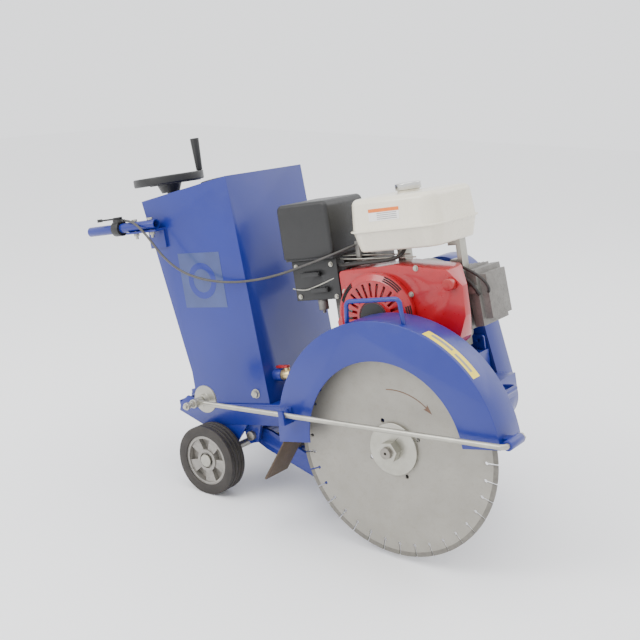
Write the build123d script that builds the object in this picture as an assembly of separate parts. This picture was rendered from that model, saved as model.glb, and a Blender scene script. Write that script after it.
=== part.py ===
from build123d import *
import math
import os

# Walk-behind concrete saw, millimetres, +Z up, +X towards the front, blade on the -Y side.
# The saw is drawn level, about its blade spindle (X 0, Z 0, blade's outer face at Y 0), and is
# then stood on its wheels with the nose raised, as it is parked. Sizes are in the level drawing.

# ---- driving sizes ----------------------------------------------------------------------
NOSE_UP = 10.8            # degrees the parked saw is tipped back
SPINDLE_HEIGHT = 264.0    # spindle axis above the ground when parked

BLADE_R = 250.0
BLADE_T = 3.6
SEGMENT_COUNT = 36
SEGMENT_H = 10.0
SEGMENT_T = 4.4
SLOT_W = 3.6
SLOT_HOLE_R = 4.0
SLOT_HOLE_PCR = 223.5     # radius on which the slot holes lie
PIN_PCR = 67.0
PIN_HOLE_R = 5.0

RAIL_FRONT = 105.0        # front end of the chassis
RAIL_REAR = -719.0        # rear end of the chassis
FRAME_NEAR = 80.0         # outer face of the blade-side rail
FRAME_WIDTH = 315.0
RAIL_BOTTOM = 18.0
RAIL_H = 50.0
RAIL_T = 5.0
FLANGE_W = 28.0
DECK_T = 4.0

SPINDLE_R = 17.5
ARBOR_R = 12.7            # where the blade sits
NUT_AF = 41.0
FLANGE_R = 60.0
HOUSING_R = 40.0
BEARING_R = 31.0
RUN = 0.05                # radial clearance of a running fit
GAP = 0.4                 # least gap between parts that move past each other

GUARD_R = 285.0
GUARD_OPEN_R = 197.0
GUARD_LIFT = 10.0         # guard's centre above the spindle
GUARD_BOTTOM = 20.0
GUARD_WIDTH = 94.0
SHEET = 3.0               # sheet steel

REAR_WHEEL_R = 90.0
REAR_WHEEL_W = 50.0
RIM_SHARE = 0.72          # the hub's rim as a share of the wheel's radius
REAR_AXLE_X = -600.4
REAR_AXLE_Z = -62.5
WHEEL_NEAR = 22.0         # outer face of the blade-side rear wheel
FRONT_WHEEL_R = 62.5
FRONT_WHEEL_W = 40.0
FRONT_AXLE_R = 10.0
REAR_AXLE_R = 10.0
ARM_LENGTH = 353.0        # swing arm, pivot to front axle
ARM_PIVOT_X = -490.0
ARM_PIVOT_Z = -12.0
ARM_T = 8.0
PIVOT_R = 12.0

SCREW_X = -768.0
SCREW_R = 10.0
SCREW_LEAD = 5.0
ARM_TRAVEL = 24.0         # degrees the swing arm turns from nose up to full depth
HANDWHEEL_R = 95.0
HANDWHEEL_Z = 645.0       # underside of the rim
HANDWHEEL_RIM_H = 22.0
CRANK_LENGTH = 86.0

TANK_TOP_REAR = (-730.0, 609.0)
TANK_TOP_FRONT = (-433.0, 642.0)
TANK_BOTTOM_X = -409.0
TANK_REAR_X = -655.0
TANK_BEND_Z = 156.0       # where the rear wall turns upright
TANK_INSET = 5.0          # side wall in from the rail's face
TANK_WALL = 2.5

SHAFT_X = -61.0           # engine crankshaft axis
SHAFT_Z = 279.0
SHAFT_R = 12.7
CYLINDER_LEAN = 3.0       # the cylinder points forward, this many degrees up
ENGINE_FOOT = 147.0       # underside of the crankcase
BASE_TOP = 133.0
RECOIL_FACE = 85.0

SPINDLE_PULLEY_R = 58.0
ENGINE_PULLEY_R = 48.0
BELT_COUNT = 3
BELT_PITCH = 16.0
BELT_W = 12.0
BELT_H = 8.0
GROOVE_DEPTH = 10.0
BELT_GUARD_NEAR = 398.0
BELT_GUARD_W = 76.0
BELT_GUARD_LOW_R = 70.0
BELT_GUARD_TOP_R = 88.0

HANDLE_R = 12.7
HANDLE_REAR = -915.0
HANDLE_FRONT = -665.0
HANDLE_OFFSET = 25.0      # bar's axis out from the tank's side wall
HANDLE_Z = 549.0

ROD_R = 6.0
ROD_PIVOT_X = 307.0
ROD_PIVOT_Z = 34.0
ROD_Y = -68.0
ROD_EYE_X = -504.0
ROD_EYE_Z = 118.0
GUIDE_WHEEL_R = 34.0

CABLE_R = 3.2

FOOT_TOP = 75.0           # top of the lead screw's lower bracket

# ---- places that follow from them -------------------------------------------------------
FRAME_FAR = FRAME_NEAR + FRAME_WIDTH
MID_Y = FRAME_NEAR + FRAME_WIDTH / 2
RAIL_TOP = RAIL_BOTTOM + RAIL_H
DECK_TOP = RAIL_TOP + DECK_T
TANK_NEAR = FRAME_NEAR + TANK_INSET
TANK_FAR = FRAME_FAR - TANK_INSET
GUARD_Y0 = BLADE_T / 2 - GUARD_WIDTH / 2
GUARD_Y1 = BLADE_T / 2 + GUARD_WIDTH / 2
BELT_GUARD_FAR = BELT_GUARD_NEAR + BELT_GUARD_W
LEVER_LENGTH = ARM_PIVOT_X - SCREW_X
ARM_REST = math.radians(26.9)
FRONT_AXLE_X = ARM_PIVOT_X + ARM_LENGTH * math.cos(ARM_REST)
FRONT_AXLE_Z = ARM_PIVOT_Z - ARM_LENGTH * math.sin(ARM_REST)
NUT_Z = ARM_PIVOT_Z + LEVER_LENGTH * math.tan(math.radians(ARM_TRAVEL / 2))
NUT_TRAVEL = 2 * LEVER_LENGTH * math.tan(math.radians(ARM_TRAVEL / 2))

NODES = {}


def keep(name, *solids):
    """Store one named part, made of one or more separate solids."""
    NODES[name] = list(solids)


def block(x0, x1, y0, y1, z0, z1):
    """A box between two corners."""
    middle = Pos((x0 + x1) / 2, (y0 + y1) / 2, (z0 + z1) / 2)
    return middle * Box(x1 - x0, y1 - y0, z1 - z0)


def rod_y(x, z, r, y0, y1):
    """A round bar along Y."""
    return Pos(x, (y0 + y1) / 2, z) * Rot(90, 0, 0) * Cylinder(r, y1 - y0)


def rod_x(y, z, r, x0, x1):
    """A round bar along X."""
    return Pos((x0 + x1) / 2, y, z) * Rot(0, 90, 0) * Cylinder(r, x1 - x0)


def rod_z(x, y, r, z0, z1):
    """A round bar along Z."""
    return Pos(x, y, (z0 + z1) / 2) * Cylinder(r, z1 - z0)


def ring_y(x, z, r_out, r_in, y0, y1):
    """A tube along Y."""
    return rod_y(x, z, r_out, y0, y1) - rod_y(x, z, r_in, y0 - 1, y1 + 1)


def ring_z(x, y, r_out, r_in, z0, z1):
    """A tube along Z."""
    return rod_z(x, y, r_out, z0, z1) - rod_z(x, y, r_in, z0 - 1, z1 + 1)


def plate_y(points, y0, y1):
    """A flat plate of the outline given as (x, z) points, between two Y faces."""
    outline = Polyline(*[(x, y0, z) for x, z in points], close=True)
    return extrude(make_face(outline), amount=y1 - y0, dir=(0, 1, 0))


def hull_y(low, low_r, top, top_r, y0, y1):
    """A plate with the outline of a belt stretched round two circles."""
    span_x = top[0] - low[0]
    span_z = top[1] - low[1]
    length = math.hypot(span_x, span_z)
    along = math.atan2(span_z, span_x)
    tilt = math.acos((low_r - top_r) / length)
    corners = []
    for centre, r, side in ((low, low_r, 1), (top, top_r, 1), (top, top_r, -1), (low, low_r, -1)):
        a = along + side * tilt
        corners.append((centre[0] + r * math.cos(a), centre[1] + r * math.sin(a)))
    body = plate_y(corners, y0, y1)
    return body + rod_y(low[0], low[1], low_r, y0, y1) + rod_y(top[0], top[1], top_r, y0, y1)


def hex_y(x, z, across_flats, y0, y1):
    """A hexagon nut or bolt head along Y."""
    r = across_flats / math.sqrt(3)
    points = [(x + r * math.cos(math.radians(60 * k)), z + r * math.sin(math.radians(60 * k)))
              for k in range(6)]
    return plate_y(points, y0, y1)


def hex_z(x, y, across_flats, z0, z1):
    """A hexagon nut or bolt head along Z."""
    return Pos(x, y, z0) * extrude(RegularPolygon(across_flats / math.sqrt(3), 6), amount=z1 - z0)


# ---- chassis ----------------------------------------------------------------------------
def rail(outer_y, inward):
    """One side rail: a folded channel, with a raised nose at its rear end."""
    web_in = outer_y + inward * RAIL_T
    flange_in = outer_y + inward * FLANGE_W
    profile = [(RAIL_FRONT, RAIL_BOTTOM), (RAIL_REAR + 73, RAIL_BOTTOM), (RAIL_REAR, 54),
               (RAIL_REAR + 11, 78), (RAIL_REAR + 38, 94), (TANK_REAR_X - 0.5, 85),
               (TANK_REAR_X - 0.5, RAIL_TOP), (RAIL_FRONT, RAIL_TOP)]
    y0 = min(outer_y, web_in)
    y1 = max(outer_y, web_in)
    f0 = min(outer_y, flange_in)
    f1 = max(outer_y, flange_in)
    web = plate_y(profile, y0, y1)
    top = block(RAIL_REAR + 73, RAIL_FRONT, f0, f1, RAIL_TOP - RAIL_T, RAIL_TOP)
    bottom = block(RAIL_REAR + 78, RAIL_FRONT, f0, f1, RAIL_BOTTOM, RAIL_BOTTOM + RAIL_T)
    return web + top + bottom - rod_y(0, 0, HOUSING_R + GAP, y0 - 40, y1 + 40)


def chassis():
    y0 = FRAME_NEAR + FLANGE_W
    y1 = FRAME_FAR - FLANGE_W
    front = block(RAIL_FRONT, RAIL_FRONT + RAIL_T, FRAME_NEAR, FRAME_FAR, RAIL_BOTTOM, DECK_TOP)
    rear = block(RAIL_REAR, RAIL_REAR + RAIL_T, FRAME_NEAR + RAIL_T, FRAME_FAR - RAIL_T, 58, 80)
    mid = block(-350, -350 + RAIL_T, y0, y1, RAIL_BOTTOM, RAIL_TOP)
    rails = [rail(FRAME_NEAR, 1), rail(FRAME_FAR, -1)]
    keep("chassis_frame", *rails, front, rear, mid, front_grab_bar(), *hanger_brackets())
    deck = block(TANK_REAR_X, RAIL_FRONT, FRAME_NEAR, FRAME_FAR, RAIL_TOP, DECK_TOP)
    keep("deck_plate", deck)


def front_grab_bar():
    """Bent round bar welded to the front plate, to lift the nose by."""
    z = RAIL_TOP - 4
    x0 = RAIL_FRONT + RAIL_T
    path = FilletPolyline((x0, MID_Y + 50, z), (x0 + 55, MID_Y + 50, z), (x0 + 55, MID_Y - 50, z),
                          (x0, MID_Y - 50, z), radius=14)
    section = Plane(origin=(x0, MID_Y + 50, z), z_dir=(1, 0, 0)) * Circle(6.5)
    return sweep(section, path)


# ---- rear wheels ------------------------------------------------------------------------
def hanger_brackets():
    """Plates that hang the rear axle and the swing-arm pivot under the rails."""
    x = REAR_AXLE_X
    z = REAR_AXLE_Z
    solids = []
    for y0 in (FRAME_NEAR + 2, FRAME_FAR - 2 - 8):
        outline = [(x - 46, RAIL_BOTTOM), (x + 108, RAIL_BOTTOM), (x + 70, RAIL_BOTTOM - 40),
                   (x + 26, z - 12), (x + 12, z - 24), (x - 12, z - 24), (x - 26, z - 12)]
        plate = plate_y(outline, y0, y0 + 8)
        solids.append(plate - rod_y(x, z, REAR_AXLE_R, y0 - 1, y0 + 9))
    for y0 in (FRAME_NEAR + 12, FRAME_FAR - 12 - 10):
        lug = plate_y([(ARM_PIVOT_X - 26, RAIL_BOTTOM), (ARM_PIVOT_X + 34, RAIL_BOTTOM),
                       (ARM_PIVOT_X + 16, ARM_PIVOT_Z - 18), (ARM_PIVOT_X - 10, ARM_PIVOT_Z - 22),
                       (ARM_PIVOT_X - 20, ARM_PIVOT_Z - 10)], y0, y0 + 10)
        solids.append(lug - rod_y(ARM_PIVOT_X, ARM_PIVOT_Z, PIVOT_R, y0 - 1, y0 + 11))
    return solids


def rear_axle():
    y0 = WHEEL_NEAR + 4
    y1 = FRAME_FAR + FRAME_NEAR - WHEEL_NEAR - 4
    axle = rod_y(REAR_AXLE_X, REAR_AXLE_Z, REAR_AXLE_R, y0, y1)
    caps = []
    for y, side in ((y0, -1), (y1, 1)):
        low = min(y, y + side * 4)
        caps.append(rod_y(REAR_AXLE_X, REAR_AXLE_Z, 16, low, low + 4))
    collars = []
    for face in (WHEEL_NEAR + REAR_WHEEL_W + GAP, FRAME_FAR + 0.3):
        collars.append(ring_y(REAR_AXLE_X, REAR_AXLE_Z, 16, REAR_AXLE_R, face,
                              face + FRAME_NEAR - WHEEL_NEAR - REAR_WHEEL_W - 2 * GAP))
    keep("rear_axle", axle, *caps, *collars)


def wheel(x, z, r, width, y0, bore_r, spokes, outer_side):
    """A cast hub with broad spokes and a grooved solid tyre, returned as two solids."""
    rim_r = RIM_SHARE * r
    y1 = y0 + width
    rim = ring_y(x, z, rim_r, rim_r - 0.08 * r, y0 + 3, y1 - 3)
    boss = rod_y(x, z, 0.32 * r, y0 + 4, y1 - 0.5)
    web = rod_y(x, z, rim_r - 3, y0 + width / 2 - 3, y0 + width / 2 + 3)
    hub = rim + boss + web
    inner = 0.28 * r
    outer = rim_r - 0.06 * r
    arm = plate_y([(inner, -0.11 * r), (outer, -0.2 * r), (outer, 0.2 * r), (inner, 0.11 * r)],
                  y0 + 8, y1 - 8)
    for k in range(spokes):
        angle = 360 / spokes * k + 90
        hub = hub + Pos(x, 0, z) * Rot(0, angle, 0) * arm
    hub = hub - rod_y(x, z, bore_r + RUN, y0 - 1, y1 + 1)
    recess = y0 if outer_side < 0 else y1
    hub = hub - rod_y(x, z, 0.23 * r, recess - 11, recess + 11)
    tyre = ring_y(x, z, r, rim_r, y0, y1)
    for share in (0.26, 0.5, 0.74):
        y = y0 + share * width
        tyre = tyre - ring_y(x, z, r + 1, r - 0.04 * r, y - 0.04 * width, y + 0.04 * width)
    return hub, tyre


def wheels():
    far = FRAME_FAR + FRAME_NEAR - WHEEL_NEAR - REAR_WHEEL_W
    for side, y0, outer in (("right", WHEEL_NEAR, -1), ("left", far, 1)):
        hub, tyre = wheel(REAR_AXLE_X, REAR_AXLE_Z, REAR_WHEEL_R, REAR_WHEEL_W, y0,
                          REAR_AXLE_R, 5, outer)
        keep("rear_hub_" + side, hub)
        keep("rear_tyre_" + side, tyre)
    for side, y0, outer in (("right", MID_Y - 100, -1), ("left", MID_Y + 60, 1)):
        hub, tyre = wheel(FRONT_AXLE_X, FRONT_AXLE_Z, FRONT_WHEEL_R, FRONT_WHEEL_W, y0,
                          FRONT_AXLE_R, 5, outer)
        keep("front_wheel_" + side, hub, tyre)


# ---- swing arm and its lift -------------------------------------------------------------
def swing_arm():
    """Bell crank: two arms to the front axle, a cross tube on the pivot, and a forked lever."""
    near = FRAME_NEAR + FLANGE_W + 4
    far = FRAME_FAR - FLANGE_W - 4 - ARM_T
    dx = math.cos(ARM_REST)
    dz = -math.sin(ARM_REST)
    outline = []
    for along, across in ((-28, -18), (-28, 18), (40, 26), (ARM_LENGTH - 20, 20),
                          (ARM_LENGTH + 16, 14), (ARM_LENGTH + 16, -14), (ARM_LENGTH - 20, -22),
                          (40, -26)):
        outline.append((ARM_PIVOT_X + along * dx - across * dz,
                        ARM_PIVOT_Z + along * dz + across * dx))
    tube = rod_y(ARM_PIVOT_X, ARM_PIVOT_Z, PIVOT_R + 8, near, far + ARM_T)
    arm = tube
    for y in (near, far):
        arm = arm + plate_y(outline, y, y + ARM_T)
    tie_x = ARM_PIVOT_X + 120 * dx
    tie_z = ARM_PIVOT_Z + 120 * dz
    arm = arm + rod_y(tie_x, tie_z, 11, near + 1, far + ARM_T - 1)
    rise = math.radians(ARM_TRAVEL / 2)
    lx = -math.cos(rise)
    lz = math.sin(rise)
    reach = LEVER_LENGTH / math.cos(rise)
    lever = []
    for along, across in ((0, -20), (0, 20), (reach + 24, 17), (reach + 24, -17), (reach - 60, -12),
                          (70, -12)):
        lever.append((ARM_PIVOT_X + along * lx + across * lz,
                      ARM_PIVOT_Z + along * lz - across * lx))
    pin_x = SCREW_X
    pin_z = NUT_Z
    for y in (MID_Y - 34, MID_Y + 26):
        fork = plate_y(lever, y, y + ARM_T)
        slot = block(-13, 20, y - 1, y + ARM_T + 1, -10.2, 10.2)
        slot = Pos(pin_x, 0, pin_z) * Rot(0, ARM_TRAVEL / 2, 0) * slot
        arm = arm + (fork - slot)
    web_x = ARM_PIVOT_X + 150 * lx
    web_z = ARM_PIVOT_Z + 150 * lz
    web = Pos(web_x, 0, web_z) * Rot(0, ARM_TRAVEL / 2, 0)
    arm = arm + web * block(-20, 20, MID_Y - 30, MID_Y + 30, -4, 4)
    arm = arm - rod_y(ARM_PIVOT_X, ARM_PIVOT_Z, PIVOT_R + RUN, near - 5, far + ARM_T + 5)
    arm = arm - rod_y(FRONT_AXLE_X, FRONT_AXLE_Z, FRONT_AXLE_R, near - 5, far + ARM_T + 5)
    keep("swing_arm", arm)
    collars = [rod_y(FRONT_AXLE_X, FRONT_AXLE_Z, FRONT_AXLE_R, near - 4, far + ARM_T + 4)]
    for y0, y1 in ((near + ARM_T, MID_Y - 100 - GAP), (MID_Y - 60 + GAP, MID_Y + 60 - GAP),
                   (MID_Y + 100 + GAP, far)):
        collars.append(ring_y(FRONT_AXLE_X, FRONT_AXLE_Z, 14, FRONT_AXLE_R, y0, y1))
    keep("front_axle", *collars)
    keep("pivot_shaft", rod_y(ARM_PIVOT_X, ARM_PIVOT_Z, PIVOT_R, FRAME_NEAR + 2, FRAME_FAR - 2))


def lead_screw():
    """Vertical screw behind the tank: it lifts the nut, and the nut moves the forked lever."""
    low = NUT_Z - NUT_TRAVEL - 24
    top = HANDWHEEL_Z + 2
    screw = rod_z(SCREW_X, MID_Y, SCREW_R, low, top)
    screw = screw + rod_z(SCREW_X, MID_Y, SCREW_R + 5, FOOT_TOP + GAP, FOOT_TOP + 9)
    keep("lead_screw", screw)
    nut = rod_z(SCREW_X, MID_Y, 20, NUT_Z - 14, NUT_Z + 14)
    nut = nut + rod_y(SCREW_X, NUT_Z, 8, MID_Y - 40, MID_Y + 40)
    nut = nut - rod_z(SCREW_X, MID_Y, SCREW_R + RUN, NUT_Z - 20, NUT_Z + 20)
    keep("screw_nut", nut)
    foot = block(SCREW_X - 30, RAIL_REAR, MID_Y - 22, MID_Y + 22, FOOT_TOP - 12, FOOT_TOP)
    foot = foot - rod_z(SCREW_X, MID_Y, SCREW_R + RUN, FOOT_TOP - 20, FOOT_TOP + 1)
    z = 585.0
    wall_x = rear_wall_x(z)
    head = block(SCREW_X - 26, wall_x, MID_Y - 26, MID_Y + 26, z, z + 8)
    head = head + block(wall_x - 6, wall_x, MID_Y - 26, MID_Y + 26, z - 30, z)
    head = head + ring_z(SCREW_X, MID_Y, 19, SCREW_R + 1, z - 12, z)
    wall_cut = plate_y([(wall_x - 0.05, z), (wall_x + 60, z), (wall_x + 60, z - 60),
                        (rear_wall_x(z - 60) - 0.05, z - 60)], MID_Y - 40, MID_Y + 40)
    above = plate_y([(rear_wall_x(z + 20) - 0.05, z + 20), (wall_x + 60, z + 20),
                     (wall_x + 60, z), (wall_x - 0.05, z)], MID_Y - 40, MID_Y + 40)
    head = head - wall_cut - above
    head = head - rod_z(SCREW_X, MID_Y, SCREW_R + RUN, z - 20, z + 20)
    keep("screw_brackets", foot, head)


def rear_wall_x(z):
    """X of the tank's slanted rear wall at a height."""
    share = (z - TANK_BEND_Z) / (TANK_TOP_REAR[1] - TANK_BEND_Z)
    return TANK_REAR_X + share * (TANK_TOP_REAR[0] - TANK_REAR_X)


def handwheel():
    z0 = HANDWHEEL_Z
    z1 = z0 + HANDWHEEL_RIM_H
    rim = ring_z(SCREW_X, MID_Y, HANDWHEEL_R, HANDWHEEL_R - 15, z0, z1)
    rim = fillet(rim.edges(), 4)
    hub = Pos(SCREW_X, MID_Y, z0 - 12) * Cone(24, 34, 24)
    wheel_body = rim + hub
    for k in range(3):
        spoke = block(SCREW_X + 20, SCREW_X + HANDWHEEL_R - 10, MID_Y - 11, MID_Y + 11, z0 - 2, z0 + 8)
        turn = Pos(SCREW_X, MID_Y, 0) * Rot(0, 0, 44.3 + 120 * k) * Pos(-SCREW_X, -MID_Y, 0)
        wheel_body = wheel_body + turn * spoke
    wheel_body = wheel_body - rod_z(SCREW_X, MID_Y, SCREW_R, z0 - 40, z0 + 2)
    x, y = crank_place()
    wheel_body = wheel_body + rod_z(x, y, 9.5, z0 + 4, z1 + 1)
    pin = rod_z(x, y, 4, z1 + 1, z1 + CRANK_LENGTH - 6)
    keep("handwheel", wheel_body, pin)
    grip = Pos(x, y, z1 + 1 + GAP + CRANK_LENGTH / 2) * Cone(8.5, 12, CRANK_LENGTH)
    grip = grip - rod_z(x, y, 4 + RUN, z1 - 1, z1 + CRANK_LENGTH - 5)
    keep("crank_grip", grip)


def crank_place():
    """X and Y of the crank pin on the handwheel's rim."""
    turn = math.radians(44.3)
    r = HANDWHEEL_R - 9
    return SCREW_X + r * math.cos(turn), MID_Y + r * math.sin(turn)


# ---- water tank -------------------------------------------------------------------------
def tank_outline(inset):
    """Side view of the tank, moved in by a wall."""
    d = inset
    lean = (TANK_TOP_FRONT[0] - TANK_BOTTOM_X) / (TANK_TOP_FRONT[1] - DECK_TOP)
    top_slope = (TANK_TOP_FRONT[1] - TANK_TOP_REAR[1]) / (TANK_TOP_FRONT[0] - TANK_TOP_REAR[0])
    return [(TANK_REAR_X + d, DECK_TOP + d), (TANK_BOTTOM_X - d, DECK_TOP + d),
            (TANK_TOP_FRONT[0] - d - lean * d, TANK_TOP_FRONT[1] - d * (1 + top_slope)),
            (TANK_TOP_REAR[0] + d * 1.1, TANK_TOP_REAR[1] - d * (1 - top_slope)),
            (TANK_REAR_X + d, TANK_BEND_Z - 0.2 * d)]


def water_tank():
    """Folded tank with its filler, outlet and handlebar trays; also keeps the bars."""
    bars, trays, bolts = handlebars()
    shell = plate_y(tank_outline(0), TANK_NEAR, TANK_FAR)
    cavity = plate_y(tank_outline(TANK_WALL), TANK_NEAR + TANK_WALL, TANK_FAR - TANK_WALL)
    shell = shell - cavity
    mouth_x = -600.0
    mouth_z = tank_top_z(mouth_x)
    shell = shell - rod_z(mouth_x, MID_Y, 32, mouth_z - 20, mouth_z + 20)
    shell = shell - rod_x(valve_y(), VALVE_Z, 9, TANK_BOTTOM_X - 40, TANK_BOTTOM_X + 5)
    keep("water_tank", shell + outlet_socket() + trays[0] + trays[1])
    keep("handlebars", *bars)
    cap = Pos(mouth_x, MID_Y, mouth_z) * Rot(0, -math.degrees(math.atan(top_rise())), 0)
    lid = cap * (rod_z(0, 0, 40, 0.4, 14) + rod_z(0, 0, 31, -8, 0.4))
    keep("tank_filler_cap", lid)
    bolt_x = -448.0
    bolt_z = 99.0
    heads = []
    for face, side in ((TANK_NEAR, -1), (TANK_FAR, 1)):
        washer_y = sorted((face, face + side * 2))
        head_y = sorted((face + side * 2, face + side * 9))
        one = rod_y(bolt_x, bolt_z, 12, washer_y[0], washer_y[1])
        one = one + hex_y(bolt_x, bolt_z, 17, head_y[0], head_y[1])
        heads.append(one)
    keep("frame_bolts", *heads, *bolts)


def outlet_socket():
    """Round boss welded to the foot of the tank's front wall, for the valve."""
    y = valve_y()
    x0 = front_wall_x(VALVE_Z)
    socket = rod_x(y, VALVE_Z, 16, x0 - 1, x0 + 24) - rod_x(y, VALVE_Z, 9, x0 - 12, x0 + 30)
    behind = plate_y([(x0 - 20, VALVE_Z - 30), (front_wall_x(VALVE_Z - 30), VALVE_Z - 30),
                      (front_wall_x(VALVE_Z + 30), VALVE_Z + 30), (x0 - 20, VALVE_Z + 30)],
                     y - 20, y + 20)
    return socket - behind


def top_rise():
    """Slope of the tank's top."""
    return (TANK_TOP_FRONT[1] - TANK_TOP_REAR[1]) / (TANK_TOP_FRONT[0] - TANK_TOP_REAR[0])


def tank_top_z(x):
    """Height of the tank's top at a distance along it."""
    return TANK_TOP_REAR[1] + top_rise() * (x - TANK_TOP_REAR[0])


def front_wall_x(z):
    """X of the tank's front wall at a height."""
    share = (z - DECK_TOP) / (TANK_TOP_FRONT[1] - DECK_TOP)
    return TANK_BOTTOM_X + share * (TANK_TOP_FRONT[0] - TANK_BOTTOM_X)


VALVE_Z = 136.0
VALVE_BORE = 5.0


def valve_y():
    """The valve sits towards the blade, where the hose leaves for the guard."""
    return TANK_NEAR + 45.0


def water_valve():
    """Ball valve screwed to the tank's outlet, with its lever."""
    y = valve_y()
    x0 = front_wall_x(VALVE_Z)
    x1 = x0 + 24
    body = rod_x(y, VALVE_Z, 14, x1, x1 + 26)
    body = body + rod_z(x1 + 13, y, 7, VALVE_Z + 8, VALVE_Z + 18)
    body = body + rod_x(y, VALVE_Z, 8, x1 + 26, x1 + 44)
    body = body - rod_x(y, VALVE_Z, VALVE_BORE, x1 - 1, x1 + 46)
    body = body - rod_z(x1 + 13, y, 3.05, VALVE_Z + 8, VALVE_Z + 20)
    keep("ball_valve_body", body)
    lever = rod_z(x1 + 13, y, 3, VALVE_Z + 10, VALVE_Z + 24)
    lever = lever + block(x1 - 16, x1 + 20, y - 6, y + 6, VALVE_Z + 18.4, VALVE_Z + 24)
    keep("ball_valve_lever", lever)


def water_hose():
    """Short hose from the valve up to the spray inlet on the guard's rim."""
    y = valve_y()
    x1 = front_wall_x(VALVE_Z) + 24 + 28
    start = (x1, y, VALVE_Z)
    end_x = -262.0
    end_y = GUARD_Y1 + 12
    path = FilletPolyline(start, (x1 + 42, y, VALVE_Z), (end_x - 34, end_y, VALVE_Z + 22),
                          (end_x + 10, end_y, VALVE_Z + 22), radius=30)
    section = Plane(origin=start, z_dir=(1, 0, 0)) * Circle(11)
    inner = Plane(origin=start, z_dir=(1, 0, 0)) * Circle(8.0)
    keep("water_hose", sweep(section, path) - sweep(inner, path))


def spray_inlet():
    """Hose tail welded to the guard's rim."""
    end_x = -262.0
    end_y = GUARD_Y1 + 12
    spray = rod_x(end_y, VALVE_Z + 22, 8, end_x - 8, end_x + 24)
    spray = spray + block(end_x + 12, end_x + 24, GUARD_Y1, end_y, VALVE_Z + 14, VALVE_Z + 30)
    return spray


# ---- handlebars -------------------------------------------------------------------------
def handlebars():
    """Two bars, each on a small tray welded to the tank's side and held by two bolts."""
    bars = []
    trays = []
    bolts = []
    for face, out in ((TANK_NEAR, -1), (TANK_FAR, 1)):
        y = face + out * HANDLE_OFFSET
        bar = rod_x(y, HANDLE_Z, HANDLE_R, HANDLE_REAR, HANDLE_FRONT)
        bar = bar - rod_x(y, HANDLE_Z, HANDLE_R - 2.5, HANDLE_REAR + 6, HANDLE_FRONT + 5)
        bar = chamfer(bar.edges().filter_by(GeomType.CIRCLE).group_by(Axis.X)[0], 3)
        z1 = HANDLE_Z - HANDLE_R
        reach = sorted((face, y + out * 14))
        tray = block(-765, HANDLE_FRONT + 6, reach[0], reach[1], z1 - 5, z1)
        rib = block(-716, HANDLE_FRONT + 4, *sorted((face, face + out * 8)), z1 - 50, z1 - 5)
        for x in HANDLE_BOLTS:
            hole = rod_z(x, y, 4, z1 - 20, HANDLE_Z + 20)
            bar = bar - hole
            tray = tray - hole
            bolt = rod_z(x, y, 4, z1 - 20, HANDLE_Z + HANDLE_R)
            bolt = bolt + hex_z(x, y, 13, HANDLE_Z + HANDLE_R, HANDLE_Z + HANDLE_R + 6)
            bolt = bolt + hex_z(x, y, 13, z1 - 12, z1 - 5)
            bolts.append(bolt)
        bars.append(bar)
        trays.append(tray + rib)
    return bars, trays, bolts


HANDLE_BOLTS = (-742.0, -685.0)


def throttle_control():
    """Clamp ring on the right handlebar, with a thumb lever that pulls the cable."""
    y = TANK_NEAR - HANDLE_OFFSET
    x = -802.0
    clamp = rod_x(y, HANDLE_Z, 20, x - 12, x + 12) - rod_x(y, HANDLE_Z, HANDLE_R, x - 20, x + 20)
    clamp = clamp + rod_z(x, y, 14, HANDLE_Z + 15, HANDLE_Z + 24)
    clamp = clamp - rod_x(y, HANDLE_Z, HANDLE_R, x - 20, x + 20)
    clamp = clamp + rod_x(y, HANDLE_Z + 18.5, 4.5, x + 8, x + 24)
    clamp = clamp - rod_z(x, y, 4.05, HANDLE_Z + 17, HANDLE_Z + 30)
    keep("throttle_clamp", clamp)
    lever = rod_z(x, y, 4, HANDLE_Z + 18, HANDLE_Z + 30)
    lever = lever + rod_z(x, y, 12, HANDLE_Z + 24.4, HANDLE_Z + 30)
    lever = lever + block(x - 58, x, y - 13, y - 6, HANDLE_Z + 24.4, HANDLE_Z + 29)
    lever = lever + rod_z(x - 58, y - 9.5, 7, HANDLE_Z + 23, HANDLE_Z + 31)
    keep("throttle_lever", lever)


CABLE_ROUTE = [
    (-776.4, 60.0, 567.5), (-730.0, 42.0, 566.0), (-682.0, 36.0, 525.0), (-643.0, 40.0, 466.0),
    (-596.0, 48.0, 423.0), (-533.0, 58.0, 397.0), (-460.0, 68.0, 384.0), (-386.0, 74.0, 384.0),
    (-311.0, 78.0, 392.0), (-232.0, 81.0, 409.0), (-150.0, 85.0, 428.0), (-116.0, 130.6, 441.0)]


def throttle_cable():
    """Cable from the thumb lever down past the tank's side and up to the engine."""
    points = [stand_point(p) for p in CABLE_ROUTE]
    radii = []
    for a, b, c in zip(points, points[1:], points[2:]):
        first = (b - a).length
        last = (c - b).length
        turn = math.radians((b - a).get_angle(c - b))
        radii.append(0.45 * min(first, last) / math.tan(turn / 2))
    print("cable bend radii, mm:", [round(r, 1) for r in radii])
    path = FilletPolyline(*points, radius=radii)
    section = Plane(origin=points[0], z_dir=points[1] - points[0]) * Circle(CABLE_R)
    tube = sweep(section, path)
    print("cable length, mm:", round(path.length, 1), "volume ratio:",
          round(tube.volume / (path.length * math.pi * CABLE_R ** 2), 4))
    return tube


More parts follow.
